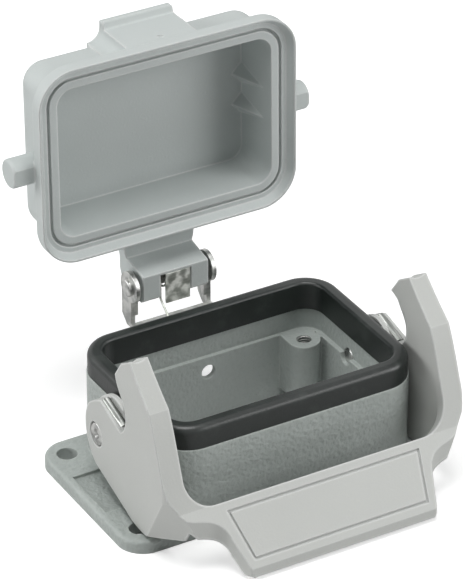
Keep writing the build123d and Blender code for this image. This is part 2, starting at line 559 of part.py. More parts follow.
# Hinge arm of the cover: a neck, and the knuckle round the pin
with BuildPart() as hinge_arm:
    with BuildSketch(Plane.YZ.offset(-2 * KNUCKLE_HALF_WIDTH)):
        with BuildLine():
            neck_top = COVER_Z + NECK_UNDERSIDE + NECK_THICKNESS
            neck_low = COVER_Z + NECK_UNDERSIDE
            Polyline(
                (HINGE_Y - 1.0, neck_top),
                (NECK_ROOT_Y - 2, neck_top),
                (NECK_ROOT_Y - 2, neck_low),
                (HINGE_Y - KNUCKLE_FRONT - 1.3, neck_low),
                (HINGE_Y - KNUCKLE_FRONT, HINGE_Z - KNUCKLE_BOTTOM),
                (HINGE_Y + KNUCKLE_REAR - 1.0, HINGE_Z - KNUCKLE_BOTTOM),
                (HINGE_Y + KNUCKLE_REAR, HINGE_Z - KNUCKLE_BOTTOM + 1.2),
                (HINGE_Y + KNUCKLE_REAR, HINGE_Z + 1.7),
            )
            ThreePointArc(
                (HINGE_Y + KNUCKLE_REAR, HINGE_Z + 1.7),
                (HINGE_Y + KNUCKLE_REAR - 1.4, HINGE_Z + 5.6),
                (HINGE_Y - 1.0, neck_top),
            )
        make_face()
    extrude(amount=4 * KNUCKLE_HALF_WIDTH)
    with BuildSketch(Plane.XY.offset(HINGE_Z - 2 * KNUCKLE_BOTTOM)):
        with BuildLine():
            neck_half = KNUCKLE_HALF_WIDTH + 0.5
            right = Spline(
                (neck_half + NECK_ROOT_FLARE, NECK_ROOT_Y - 2),
                (neck_half + NECK_ROOT_FLARE * 0.6, NECK_ROOT_Y + 0.4),
                (neck_half, NECK_ROOT_Y + 3.5),
                (neck_half, NECK_ROOT_Y + 7.5),
                (KNUCKLE_HALF_WIDTH, NECK_ROOT_Y + 10.0),
                tangents=((-0.2, 1), (0, 1)),
            )
            mirror(right, about=Plane.YZ)
            knuckle_end = HINGE_Y + 2 * KNUCKLE_REAR
            Polyline(
                (KNUCKLE_HALF_WIDTH, NECK_ROOT_Y + 10.0),
                (KNUCKLE_HALF_WIDTH, knuckle_end),
                (-KNUCKLE_HALF_WIDTH, knuckle_end),
                (-KNUCKLE_HALF_WIDTH, NECK_ROOT_Y + 10.0),
            )
            Line((-neck_half - NECK_ROOT_FLARE, NECK_ROOT_Y - 2), (neck_half + NECK_ROOT_FLARE, NECK_ROOT_Y - 2))
        make_face()
    extrude(amount=4 * KNUCKLE_BOTTOM + NECK_UNDERSIDE, mode=Mode.INTERSECT)
    # slot for the springs, open at the bottom and at the rear
    with BuildSketch(Plane.YZ.offset(-SPRING_SLOT_HALF)):
        with BuildLine():
            slot_front = HINGE_Y - KNUCKLE_FRONT + SPRING_SLOT_SKIN
            Polyline(
                (slot_front, HINGE_Z - 2 * KNUCKLE_BOTTOM),
                (slot_front, HINGE_Z + 3.4),
                (HINGE_Y + 2 * KNUCKLE_REAR, HINGE_Z + 3.4),
                (HINGE_Y + 2 * KNUCKLE_REAR, HINGE_Z - 2 * KNUCKLE_BOTTOM),
                close=True,
            )
        make_face()
    extrude(amount=2 * SPRING_SLOT_HALF, mode=Mode.SUBTRACT)
    with BuildSketch(Plane.YZ.offset(-KNUCKLE_HALF_WIDTH)):
        with Locations((HINGE_Y, HINGE_Z)):
            Circle(HINGE_PIN_DIAMETER / 2 + HINGE_RUNNING_FIT)
    extrude(amount=2 * KNUCKLE_HALF_WIDTH, mode=Mode.SUBTRACT)

# Wedge rib of the cover's inner end wall: it grows from a point near the mouth to a broad foot
cavity_half = COVER_HALF_LENGTH - COVER_LIP_REACH_X - COVER_WALL_X
floor_z = COVER_Z + COVER_HEIGHT - COVER_ROOF
with BuildSketch(Plane.XY.offset(floor_z + 0.5)) as rib_foot:
    with BuildLine():
        Polyline(
            (cavity_half + 0.5, RIB_WIDTH / 2),
            (cavity_half - RIB_REACH, 0),
            (cavity_half + 0.5, -RIB_WIDTH / 2),
            close=True,
        )
    make_face()
with BuildPart() as wedge_rib:
    loft(sections=[rib_foot.sketch.face(), Vertex(cavity_half + 0.2, 0, COVER_Z + RIB_MOUTH)])

# Finger tab on the cover's free side
tab_wall = -COVER_HALF_WIDTH + COVER_LIP_REACH_Y
tab_face = -COVER_HALF_WIDTH + 0.1
with BuildPart() as finger_tab:
    with BuildSketch(Plane.YZ.offset(-2 * TAB_HALF_WIDTH)):
        with BuildLine():
            Polyline(
                (tab_wall + 1.5, COVER_Z + COVER_LIP_HEIGHT - 1),
                (tab_wall + 1.5, COVER_Z + TAB_TOP - 0.1),
                (tab_wall, COVER_Z + TAB_TOP),
            )
            FilletPolyline(
                (tab_wall, COVER_Z + TAB_TOP),
                (tab_face - TAB_REACH, COVER_Z + TAB_TOP),
                (tab_face - TAB_REACH, COVER_Z + TAB_LIP_UNDERSIDE + 0.6),
                (tab_face, COVER_Z + TAB_LIP_UNDERSIDE),
                (tab_face, COVER_Z + COVER_LIP_HEIGHT - 1),
                radius=0.35,
            )
            Line((tab_face, COVER_Z + COVER_LIP_HEIGHT - 1), (tab_wall + 1.5, COVER_Z + COVER_LIP_HEIGHT - 1))
        make_face()
    extrude(amount=4 * TAB_HALF_WIDTH)
    with BuildSketch(Plane.XY.offset(COVER_Z)):
        with BuildLine():
            foot_x = TAB_HALF_WIDTH + TAB_FLARE
            mid_x = foot_x - TAB_FLARE * sin(radians(45))
            mid_y = tab_wall - TAB_FLARE + TAB_FLARE * sin(radians(45))
            right = ThreePointArc(
                (foot_x, tab_wall), (mid_x, mid_y), (TAB_HALF_WIDTH, tab_wall - TAB_FLARE)
            )
            mirror(right, about=Plane.YZ)
            Polyline(
                (foot_x, tab_wall),
                (foot_x, tab_wall + 2),
                (-foot_x, tab_wall + 2),
                (-foot_x, tab_wall),
            )
            FilletPolyline(
                (TAB_HALF_WIDTH, tab_wall - TAB_FLARE),
                (TAB_HALF_WIDTH, tab_face - TAB_REACH),
                (-TAB_HALF_WIDTH, tab_face - TAB_REACH),
                (-TAB_HALF_WIDTH, tab_wall - TAB_FLARE),
                radius=0.5,
            )
        make_face()
    extrude(amount=COVER_HEIGHT, mode=Mode.INTERSECT)
    # round ejector mark on the tab's face
    with BuildSketch(Plane.XZ.offset(-tab_face)):
        with Locations((TAB_MARK_X, COVER_Z + TAB_MARK_DEPTH)):
            Circle(TAB_MARK_DIAMETER / 2)
    extrude(amount=-0.15, mode=Mode.SUBTRACT)

# Locking peg of an end wall, round with a flat on the side of the mating plane
peg_root = COVER_HALF_LENGTH - COVER_LIP_REACH_X - 1
with BuildPart() as locking_peg:
    with BuildSketch(Plane.YZ.offset(peg_root)):
        with Locations((PEG_Y, COVER_Z + PEG_HEIGHT)):
            Circle(PEG_RADIUS)
    extrude(amount=PEG_TIP - peg_root)
    fillet(locking_peg.edges().group_by(Axis.X)[-1], PEG_TIP_CHAMFER)
    with BuildSketch(Plane.YZ.offset(peg_root)):
        with Locations((PEG_Y, COVER_Z + PEG_HEIGHT - PEG_FLAT)):
            Rectangle(2 * PEG_RADIUS, PEG_RADIUS, align=(Align.CENTER, Align.MAX))
    extrude(amount=PEG_TIP, mode=Mode.SUBTRACT)

# Cover: one moulding, here closed over the seal
with BuildPart() as cover:
    with BuildSketch(Plane.XY.offset(COVER_Z)):
        RectangleRounded(2 * COVER_HALF_LENGTH, 2 * COVER_HALF_WIDTH, COVER_LIP_CORNER)
    extrude(amount=COVER_LIP_HEIGHT)
    fillet(cover.faces().sort_by(Axis.Z)[-1].edges(), 0.8)
    with BuildSketch(Plane.XY.offset(COVER_Z + COVER_LIP_HEIGHT - 1)):
        RectangleRounded(
            2 * (COVER_HALF_LENGTH - COVER_LIP_REACH_X),
            2 * (COVER_HALF_WIDTH - COVER_LIP_REACH_Y),
            COVER_LIP_CORNER - COVER_LIP_REACH_Y,
        )
    extrude(amount=COVER_HEIGHT - COVER_LIP_HEIGHT + 1, taper=COVER_DRAFT)
    fillet(cover.faces().sort_by(Axis.Z)[-1].edges(), COVER_ROOF_ROUND)
    add(finger_tab.part)
    add(hinge_arm.part)
    add(locking_peg.part)
    add(mirror(locking_peg.part, about=Plane.YZ, mode=Mode.PRIVATE))
    # recess inside the skirt, the seat, the groove in the seat and the cavity
    with BuildSketch(Plane.XY.offset(COVER_Z)):
        RectangleRounded(
            2 * (COVER_HALF_LENGTH - COVER_SKIRT_LAND),
            2 * (COVER_HALF_WIDTH - COVER_SKIRT_LAND),
            COVER_LIP_CORNER - COVER_SKIRT_LAND,
        )
    extrude(amount=0.3, mode=Mode.SUBTRACT)
    with BuildSketch(Plane.XY.offset(COVER_Z + 0.3)):
        RectangleRounded(
            2 * (COVER_HALF_LENGTH - COVER_SKIRT_LAND),
            2 * (COVER_HALF_WIDTH - COVER_SKIRT_LAND),
            COVER_LIP_CORNER - COVER_SKIRT_LAND,
        )
    extrude(amount=COVER_SEAT_DEPTH - 0.3, taper=36, mode=Mode.SUBTRACT)
    with BuildSketch(Plane.XY.offset(COVER_Z + COVER_SEAT_DEPTH)):
        ring_sketch(2 * COVER_GROOVE_X, 2 * COVER_GROOVE_Y, COVER_GROOVE_CORNER, COVER_GROOVE_WIDTH)
    extrude(amount=COVER_GROOVE_DEPTH, mode=Mode.SUBTRACT)
    with BuildSketch(Plane.XY.offset(COVER_Z)):
        RectangleRounded(
            2 * cavity_half,
            2 * (COVER_HALF_WIDTH - COVER_LIP_REACH_Y - COVER_WALL_Y),
            COVER_CAVITY_CORNER,
        )
    extrude(amount=COVER_HEIGHT - COVER_ROOF, taper=COVER_DRAFT, mode=Mode.SUBTRACT)
    for side in (1, -1):
        with Locations((0, RIB_PITCH / 2, 0), (0, -RIB_PITCH / 2, 0)):
            add(wedge_rib.part if side > 0 else mirror(wedge_rib.part, about=Plane.YZ, mode=Mode.PRIVATE))
cover_open = cover.part.rotate(HINGE_AXIS, -OPEN_ANGLE)
cover_open.label = "cover"
export_step(cover_open, "parts/cover.step")

# Steel leaf in the knuckle's slot, folded at its front; it swings with the cover
leaf_low = HINGE_Z - KNUCKLE_BOTTOM - 0.1
leaf_front = HINGE_Y - KNUCKLE_FRONT + SPRING_SLOT_SKIN + SEAT_GAP
with BuildPart() as spring_leaf:
    with BuildSketch(Plane.YZ.offset(LEAF_LEFT)):
        with BuildLine():
            Polyline(
                (HINGE_Y + LEAF_DROP - 0.5, leaf_low),
                (leaf_front, leaf_low),
                (leaf_front, HINGE_Z + 2.4),
            )
            offset(amount=LEAF_THICKNESS, side=Side.RIGHT)
        make_face()
    extrude(amount=LEAF_RIGHT - LEAF_LEFT)
leaf_open = spring_leaf.part.rotate(HINGE_AXIS, -OPEN_ANGLE)
leaf_open.label = "spring_leaf"
export_step(leaf_open, "parts/spring_leaf.step")

# Latch pins: short rods bedded in the floors of the hooks' notches, where the pegs slide in
floor_rear = Vector(0, *OUTER_NOTCH_FLOOR[0])
floor_front = Vector(0, *OUTER_NOTCH_FLOOR[1])
floor_run = (floor_front - floor_rear).normalized()
floor_down = Vector(0, floor_run.Z, -floor_run.Y) * -1
pin_start = floor_rear + floor_down * (LATCH_PIN_DIAMETER / 2 - LATCH_PIN_PROUD)
for name, side in (("left", -1), ("right", 1)):
    with BuildPart() as latch_pin:
        with BuildSketch(Plane(pin_start + Vector(side * LATCH_PIN_X, 0, 0), z_dir=floor_run)):
            Circle(LATCH_PIN_DIAMETER / 2)
        extrude(amount=LATCH_PIN_LENGTH)
    latch_pin.part.label = "latch_pin_" + name
    export_step(latch_pin.part, "parts/latch_pin_" + name + ".step")

# Locking lever, drawn open: side outlines give the two hooked arms and the cross bar with its
# handle plate, and one plan outline trims their outer faces, the shoulders and the handle's sides
tilt = radians(HANDLE_TILT)
HANDLE_PLANE = Plane(
    origin=(0, HANDLE_TOP_Y, HANDLE_TOP_Z), x_dir=(1, 0, 0), z_dir=(0, -sin(tilt), cos(tilt))
)
handle_end_y = HANDLE_TOP_Y - HANDLE_LENGTH * cos(tilt)
handle_end_z = HANDLE_TOP_Z - HANDLE_LENGTH * sin(tilt)
back_y = HANDLE_TOP_Y + HANDLE_THICKNESS * sin(tilt)
back_z = HANDLE_TOP_Z - HANDLE_THICKNESS * cos(tilt)
layers = (
    (ARM_INNER_FACE, ARM_LEDGE_FACE, INNER_NOTCH_TOP, INNER_NOTCH_FLOOR, INNER_NOTCH_SIDE),
    (ARM_LEDGE_FACE, ARM_OUTER_FACE + 4, OUTER_NOTCH_TOP, OUTER_NOTCH_FLOOR, OUTER_NOTCH_SIDE),
)
with BuildPart() as locking_lever:
    for near, far, notch_top, notch_floor, notch_side in layers:
        with BuildSketch(Plane.YZ.offset(near)):
            with BuildLine():
                ThreePointArc(LOBE_BOTTOM, LOBE_REAR, LOBE_TOP)
                Spline(*notch_top)
                Polyline(*notch_floor)
                Spline(*notch_side)
                Polyline(*HOOK_TIP)
                Spline(*HOOK_BACK)
                Spline(*ARM_FRONT)
                Polyline(*ARM_NOSE)
                Spline(*ARM_UNDERSIDE)
                Line(ARM_UNDERSIDE[-1], LOBE_BOTTOM)
            make_face()
        extrude(amount=far - near)
    mirror(about=Plane.YZ)
    # cross bar and handle plate
    with BuildSketch(Plane.YZ.offset(-ARM_LEDGE_FACE - 3)):
        with BuildLine():
            Polyline(
                (HANDLE_TOP_Y, HANDLE_TOP_Z),
                (handle_end_y, handle_end_z),
                (handle_end_y - 0.2, handle_end_z - HANDLE_LIP),
                (handle_end_y + 1.9, handle_end_z - HANDLE_LIP),
                (back_y, back_z),
                (back_y + 2.0, back_z + 5.0),
                (back_y + 3.2, back_z + 9.0),
                BAR_FRONT[0],
            )
            Spline(*BAR_FRONT)
        make_face()
    extrude(amount=2 * (ARM_LEDGE_FACE + 3))
    with BuildSketch(HANDLE_PLANE.offset(-8)):
        with Locations((0, 10)):
            RectangleRounded(2 * ARM_INNER_FACE, 20, WINDOW_CORNER)
    extrude(amount=16, mode=Mode.SUBTRACT)
    # plan outline
    with BuildSketch():
        with BuildLine():
            rear_half = ARM_OUTER_FACE - ARM_FLARE_PER_MM * 12
            shoulder_half = ARM_OUTER_FACE - ARM_FLARE_PER_MM * ARM_SHOULDER_Y
            edge = Polyline((0, 12), (rear_half, 12), (shoulder_half, ARM_SHOULDER_Y))
            shoulder = Spline((shoulder_half, ARM_SHOULDER_Y), *SHOULDER_CURVE)
            tip = FilletPolyline(*HANDLE_SIDE, radius=HANDLE_CORNER)
            mirror(edge, about=Plane.YZ)
            mirror(shoulder, about=Plane.YZ)
            mirror(tip, about=Plane.YZ)
        make_face()
    extrude(amount=50, mode=Mode.INTERSECT)
    # the shoulders' lower outer sides slope inwards
    for side in (1, -1):
        slope_origin = (side * shoulder_half, ARM_SHOULDER_Y, SHOULDER_CUT_Z)
        with BuildSketch(Plane(origin=slope_origin, z_dir=(side * 0.802, -0.506, -0.317))):
            Rectangle(40, 40)
        extrude(amount=20, mode=Mode.SUBTRACT)
    # border line round the label's place, which stays bare
    with BuildSketch(HANDLE_PLANE):
        with BuildLine():
            Polyline(
                (-LABEL_TOP_HALF, -LABEL_TOP),
                (LABEL_TOP_HALF, -LABEL_TOP),
                (LABEL_END_HALF, -LABEL_END),
                (-LABEL_END_HALF, -LABEL_END),
                close=True,
            )
        make_face()
        offset(amount=-LABEL_LINE, mode=Mode.SUBTRACT)
    extrude(amount=-LABEL_DEPTH, mode=Mode.SUBTRACT)
    # scooped hook tips
    tip_rise = Plane(
        origin=(0, (HOOK_TIP[1][0] + HOOK_TIP[2][0]) / 2, (HOOK_TIP[1][1] + HOOK_TIP[2][1]) / 2),
        x_dir=(1, 0, 0),
        z_dir=(0, HOOK_TIP[2][0] - HOOK_TIP[1][0], HOOK_TIP[2][1] - HOOK_TIP[1][1]),
    )
    with BuildSketch(tip_rise.offset(-5)):
        with GridLocations(2 * TIP_SCOOP_X, 1, 2, 1):
            with Locations((0, TIP_SCOOP_RADIUS - TIP_SCOOP_DEPTH)):
                Circle(TIP_SCOOP_RADIUS)
    extrude(amount=10, mode=Mode.SUBTRACT)
    # pivot holes and the seats of the rivet heads
    with BuildSketch(Plane.YZ.offset(-2 * ARM_OUTER_FACE)):
        with Locations((PIVOT_Y, PIVOT_Z)):
            Circle(PIVOT_DIAMETER / 2 + PIVOT_RUNNING_FIT)
    extrude(amount=4 * ARM_OUTER_FACE, mode=Mode.SUBTRACT)
    for side in (1, -1):
        with BuildSketch(Plane.YZ.offset(side * PIVOT_HEAD_SEAT)):
            with Locations((PIVOT_Y, PIVOT_Z)):
                Circle(PIVOT_HEAD_DIAMETER / 2 + 0.3)
        extrude(amount=side * 3, mode=Mode.SUBTRACT)
        # seat of the latch pin along the notch's floor
        with BuildSketch(Plane(pin_start + Vector(side * LATCH_PIN_X, 0, 0), z_dir=floor_run)):
            Circle(LATCH_PIN_DIAMETER / 2 + SEAT_GAP / 2)
        extrude(amount=LATCH_PIN_LENGTH, mode=Mode.SUBTRACT)
locking_lever.part.label = "locking_lever"
export_step(locking_lever.part, "parts/locking_lever.step")
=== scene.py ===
# %% [markdown]
# # A bulkhead housing for a heavy duty rectangular connector
# The object is a light metal casting that bolts behind a hole in a panel. It has a black rubber
# seal on its rim, a locking lever that leans open in front of it, and a protective cover that
# stands open on a steel hinge behind it. The solids come ready made, in metres, with +Z away from
# the panel. This lesson gives them their paint, rubber and steel, adds the screw threads, and
# sets the camera, the lamps and the floor.

from math import cos, pi, radians, sin

import bpy
from mathutils import Matrix, Vector


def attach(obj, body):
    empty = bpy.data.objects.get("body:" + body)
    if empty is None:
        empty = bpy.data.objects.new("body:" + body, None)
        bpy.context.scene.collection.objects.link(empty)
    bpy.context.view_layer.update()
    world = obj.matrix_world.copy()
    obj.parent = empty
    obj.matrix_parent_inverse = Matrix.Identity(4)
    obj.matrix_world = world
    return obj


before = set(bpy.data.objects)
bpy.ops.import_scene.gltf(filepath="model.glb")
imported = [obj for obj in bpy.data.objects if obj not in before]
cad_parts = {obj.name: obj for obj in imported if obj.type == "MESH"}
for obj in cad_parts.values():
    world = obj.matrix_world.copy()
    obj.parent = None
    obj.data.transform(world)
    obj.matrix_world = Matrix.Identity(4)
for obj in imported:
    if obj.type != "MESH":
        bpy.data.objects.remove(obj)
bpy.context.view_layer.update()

# %% [markdown]
# ## Writing a finish as sums
# A finish is a node graph, and long graphs are hard to read as lists of links. Here a small class
# wraps one socket and turns + - * into Math nodes, so that a pattern reads as the sum it is.
# Every other node comes from one method, which sets the node's settings first and then feeds its
# sockets with numbers or with links.


# %% A socket that can be used in sums
class Wire:
    def __init__(self, finish, socket):
        self.finish = finish
        self.socket = socket

    def __add__(self, other):
        return self.finish.math("ADD", self, other)

    def __rsub__(self, other):
        return self.finish.math("SUBTRACT", other, self)

    def __mul__(self, other):
        return self.finish.math("MULTIPLY", self, other)

    __radd__ = __add__
    __rmul__ = __mul__


# %% A finish: one material with its node graph
class Finish:
    def __init__(self, name, **fixed):
        self.material = bpy.data.materials.new(name)
        self.material.use_nodes = True
        self.tree = self.material.node_tree
        self.tree.nodes.clear()
        output = self.tree.nodes.new("ShaderNodeOutputMaterial")
        self.shader = self.tree.nodes.new("ShaderNodeBsdfPrincipled")
        self.tree.links.new(self.shader.outputs[0], output.inputs["Surface"])
        self.set(**fixed)

    def set(self, **values):
        for name, value in values.items():
            self.feed(self.shader.inputs[name.replace("_", " ")], value)

    def feed(self, socket, value):
        if isinstance(value, Wire):
            self.tree.links.new(value.socket, socket)
        else:
            socket.default_value = value

    def node(self, kind, settings=None, inputs=None, output=0):
        made = self.tree.nodes.new(kind)
        for name, value in (settings or {}).items():
            setattr(made, name, value)
        for name, value in (inputs or {}).items():
            self.feed(made.inputs[name], value)
        return Wire(self, made.outputs[output])

    def math(self, operation, a, b):
        return self.node("ShaderNodeMath", {"operation": operation}, {0: a, 1: b})


# %% [markdown]
# ## Patterns that several finishes share
# Paint, mouldings and steel all need the same few things: the place on the object, a cloud of
# noise of a given grain, a soft mask cut out of it, a blend of two colours, a mask that follows
# the edges, and a bump that also rounds the sharp edges of the solids by a hair, as every real
# edge is. The edge mask compares the rounded normal with the true one: where they part is an edge,
# and there the paint, the mouldings and the rubber get a lighter colour, a painted highlight for
# the light that edges catch.


# %% Shared patterns
def place(finish):
    return finish.node("ShaderNodeTexCoord", output="Object")


def stretched(finish, scale):
    return finish.node("ShaderNodeMapping", {}, {"Vector": place(finish), "Scale": scale})


def cloud(finish, grain_mm, detail=3.0, where=None, rough=0.5):
    return finish.node(
        "ShaderNodeTexNoise",
        {"noise_dimensions": "3D"},
        {
            "Vector": where or place(finish),
            "Scale": 1000.0 / grain_mm,
            "Detail": detail,
            "Roughness": rough,
        },
    )


def cells(finish, size_mm):
    return finish.node(
        "ShaderNodeTexVoronoi",
        {"feature": "SMOOTH_F1"},
        {"Vector": place(finish), "Scale": 1000.0 / size_mm, "Smoothness": 1.0},
        output="Distance",
    )


def mask(finish, value, low, high):
    return finish.node(
        "ShaderNodeMapRange",
        {"interpolation_type": "SMOOTHSTEP"},
        {"Value": value, "From Min": low, "From Max": high},
    )


def blend(finish, factor, first, second):
    first, second = (tone if isinstance(tone, Wire) else (*tone, 1.0) for tone in (first, second))
    return finish.node(
        "ShaderNodeMix",
        {"data_type": "RGBA"},
        {"Factor": factor, 6: first, 7: second},
        output=2,
    )


# A mask for the painted highlight: it is 1 along edges, where the colour is lightened.
def edge_highlight_mask(finish, width_mm):
    rounded = finish.node("ShaderNodeBevel", {"samples": 6}, {"Radius": width_mm / 1000.0})
    face = finish.node("ShaderNodeNewGeometry", output="True Normal")
    alike = finish.node(
        "ShaderNodeVectorMath", {"operation": "DOT_PRODUCT"}, {0: rounded, 1: face}, output="Value"
    )
    return mask(finish, 1.0 - alike, 0.004, 0.09)


def relief(finish, height, depth_mm, edge_mm):
    edge = finish.node("ShaderNodeBevel", {"samples": 6}, {"Radius": edge_mm / 1000.0})
    return finish.node(
        "ShaderNodeBump",
        {},
        {"Strength": 1.0, "Distance": depth_mm / 1000.0, "Height": height, "Normal": edge},
    )


def lay(finish, *names):
    for name in names:
        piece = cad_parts[name]
        if not piece.material_slots:
            piece.data.materials.append(finish.material)
        for slot in piece.material_slots:
            slot.material = finish.material
    print(finish.material.name, "on", ", ".join(names))


# %% [markdown]
# ## The hammered paint of the casting
# The housing is a pressure casting under a thick grey paint with a slight green cast. The paint
# draws together into shallow dimples a millimetre or so wide as it dries. A smooth cell pattern
# gives the dimples, a finer cloud breaks them up, and a wide cloud keeps large faces from looking
# flat. The dimples' floors are painted a shade darker, a painted shade in the hollows.

# %% Housing paint
paint = Finish("hammered_grey_paint", IOR=1.5)
dimples = cells(paint, 1.0)
orange_peel = cloud(paint, 0.6, 3.0)
drift = cloud(paint, 14.0, 2.0)
# The dimples' share darkens their floors, a painted shade in the hollows. The clouds add random
# tone.
shade = dimples * 0.2 + orange_peel * 0.25 + drift * 0.55
tone = blend(paint, mask(paint, shade, 0.2, 0.8), (0.362, 0.397, 0.378), (0.416, 0.451, 0.432))
paint.set(
    # Painted highlight: the colour is lightened along the edges.
    Base_Color=blend(paint, edge_highlight_mask(paint, 0.7) * 0.6, tone, (0.56, 0.60, 0.57)),
    Roughness=0.32 + 0.14 * orange_peel,
    Normal=relief(paint, dimples * 0.8 + orange_peel * 0.7, 0.25, 0.5),
)
lay(paint, "housing")

# %% [markdown]
# ## The light grey of the cover and the lever
# Both are smooth pieces in a light grey. Up close the surface has a fine grain, and wide faces vary
# by a shade. The cover's grey is cooler than the lever's, with a slight green cast, and a touch
# lighter.


# %% Cover and lever
def grey_skin(name, dark, light, grain_mm, depth_mm, edge_mm):
    skin = Finish(name, IOR=1.48)
    grain = cloud(skin, grain_mm, 4.0, rough=0.6)
    wide = cloud(skin, 18.0, 2.0)
    fleck = mask(skin, cloud(skin, 1.1, 2.0), 0.62, 0.72)
    tone = blend(skin, wide * 0.6 + grain * 0.3 + fleck * 0.1, dark, light)
    skin.set(
        # Painted highlight: the colour is lightened along the edges.
        Base_Color=blend(skin, edge_highlight_mask(skin, edge_mm + 0.2) * 0.7, tone, (0.80, 0.81, 0.80)),
        Roughness=0.4 + 0.12 * grain + 0.08 * wide,
        Normal=relief(skin, grain + fleck * 0.3, depth_mm, edge_mm),
    )
    return skin


cover_skin = grey_skin("cover_grey", (0.490, 0.528, 0.518), (0.568, 0.605, 0.596), 0.55, 0.035, 0.5)
lay(cover_skin, "cover")
lever_skin = grey_skin("lever_grey", (0.482, 0.494, 0.474), (0.549, 0.562, 0.54), 0.5, 0.03, 0.6)
lay(lever_skin, "locking_lever")

# %% [markdown]
# ## The rubber of the seals
# The rim seal is black and slightly sheeny, with pale dust caught in patches. The flat ring under
# the flange is the same rubber, left dull. On both, the edges are painted lighter: a painted
# highlight.


# %% Rubber
def rubber(name, gloss):
    skin = Finish(name, IOR=1.5)
    grain = cloud(skin, 0.35, 3.0)
    dust = mask(skin, cloud(skin, 5.0, 5.0, rough=0.65), 0.5, 0.78)
    tone = blend(skin, dust * 0.55 + grain * 0.2, (0.006, 0.009, 0.008), (0.036, 0.043, 0.039))
    skin.set(
        # Painted highlight: the colour is lightened along the edges.
        Base_Color=blend(skin, edge_highlight_mask(skin, 0.3) * 0.6, tone, (0.10, 0.115, 0.105)),
        Roughness=gloss + 0.14 * grain + 0.14 * dust,
        Normal=relief(skin, grain, 0.03, 0.25),
    )
    return skin


lay(rubber("rim_rubber", 0.26), "rim_seal")
lay(rubber("panel_rubber", 0.6), "flange_seal")

# %% [markdown]
# ## The steels
# The bracket is stamped from rolled stainless sheet, whose faint streaks run one way: a noise
# squeezed across that way draws them. The hinge pin and the rivets are turned, so their streaks run
# round them, and the bracket's small screws share that finish. The latch pins are cut from drawn
# rod, streaked along its length. The spring wire and leaf are duller. Soft patches, darker and
# lighter, break up the colour of every steel: they are painted reflections.


# %% Steels
def steel(name, dark, light, streaks, roughness, edge_mm, reflection_stretch=(1.0, 1.0, 1.0)):
    skin = Finish(name, Metallic=1.0)
    lines = cloud(skin, 1.0, 4.0, where=stretched(skin, streaks))
    # Painted reflection: these soft patches make the colour darker and lighter, and also vary
    # roughness and bump.
    reflection_patch = mask(skin, cloud(skin, 2.2, 2.0, where=stretched(skin, reflection_stretch)), 0.36, 0.64)
    skin.set(
        Base_Color=blend(skin, lines * 0.4 + reflection_patch * 0.6, dark, light),
        Roughness=roughness + 0.12 * lines + 0.16 * reflection_patch,
        Normal=relief(skin, lines * 0.3 + reflection_patch * 0.7, 0.05, edge_mm),
    )
    return skin


sheet_steel = steel(
    "stainless_sheet", (0.30, 0.31, 0.30), (0.70, 0.70, 0.68), (0.25, 3.0, 3.0), 0.24, 0.2
)
lay(sheet_steel, "hinge_bracket")
turned_steel = steel(
    "turned_steel", (0.17, 0.175, 0.17), (0.74, 0.74, 0.72), (4.0, 0.8, 0.8), 0.22, 0.15
)
lay(turned_steel, "hinge_pin", "bracket_screws", "pivot_pin_left", "pivot_pin_right")
drawn_steel = steel(
    "drawn_rod",
    (0.13, 0.14, 0.13),
    (0.50, 0.51, 0.49),
    (5.0, 0.5, 0.5),
    0.24,
    0.15,
    reflection_stretch=(3.0, 0.25, 0.25),
)
lay(drawn_steel, "latch_pin_left", "latch_pin_right")
spring_steel = steel(
    "spring_steel", (0.30, 0.32, 0.28), (0.90, 0.91, 0.87), (0.5, 2.0, 2.0), 0.38, 0.1
)
lay(spring_steel, "spring_leaf", "hinge_spring")

# %% [markdown]
# ## The lever's washers
# A thin ring of natural nylon keeps each arm of the lever off the paint. Nylon is slightly
# translucent, which a little subsurface light imitates, with the faint mottle of a moulded part.

# %% Nylon
nylon = Finish("natural_nylon", Subsurface_Weight=0.15, Subsurface_Scale=0.001, IOR=1.53)
mottle = cloud(nylon, 1.2, 3.0)
nylon.set(
    Base_Color=blend(nylon, mottle, (0.66, 0.65, 0.59), (0.76, 0.75, 0.70)),
    Roughness=0.38 + 0.16 * mottle,
    Normal=relief(nylon, mottle, 0.02, 0.1),
)
lay(nylon, "pivot_washer_left", "pivot_washer_right")

# %% [markdown]
# ## Threads in the four screw bosses
# The solids have plain core holes. A real boss is tapped, and from above its first turns show as
# fine bright rings. A thread repeats and follows a helix, which is a job for Geometry Nodes: a
# spiral is swept with a small three-sided profile, and one copy goes to each corner of a grid.
# The result is made real, because copies that stay virtual would be lost on export.

# %% A node in any tree
def add(tree, kind, settings=None, pair=(), **feeds):
    """Feeds name their sockets; a pair fills the first ones, which Math nodes name alike."""
    node = tree.nodes.new(kind)
    for name, value in (settings or {}).items():
        setattr(node, name, value)
    named = {name.replace("_", " "): value for name, value in feeds.items()}
    for key, value in {**dict(enumerate(pair)), **named}.items():
        if isinstance(value, bpy.types.NodeSocket):
            tree.links.new(value, node.inputs[key])
        else:
            node.inputs[key].default_value = value
    return node


# %% The tree that cuts threads
THREAD_INPUTS = (
    ("Spread X", "NodeSocketFloat", 0.044),
    ("Spread Y", "NodeSocketFloat", 0.027),
    ("Top", "NodeSocketFloat", 0.0151),
    ("Length", "NodeSocketFloat", 0.0105),
    ("Turns", "NodeSocketFloat", 15.0),
    ("Radius", "NodeSocketFloat", 0.00163),
    ("Ridge", "NodeSocketFloat", 0.00022),
    ("Finish", "NodeSocketMaterial", None),
)


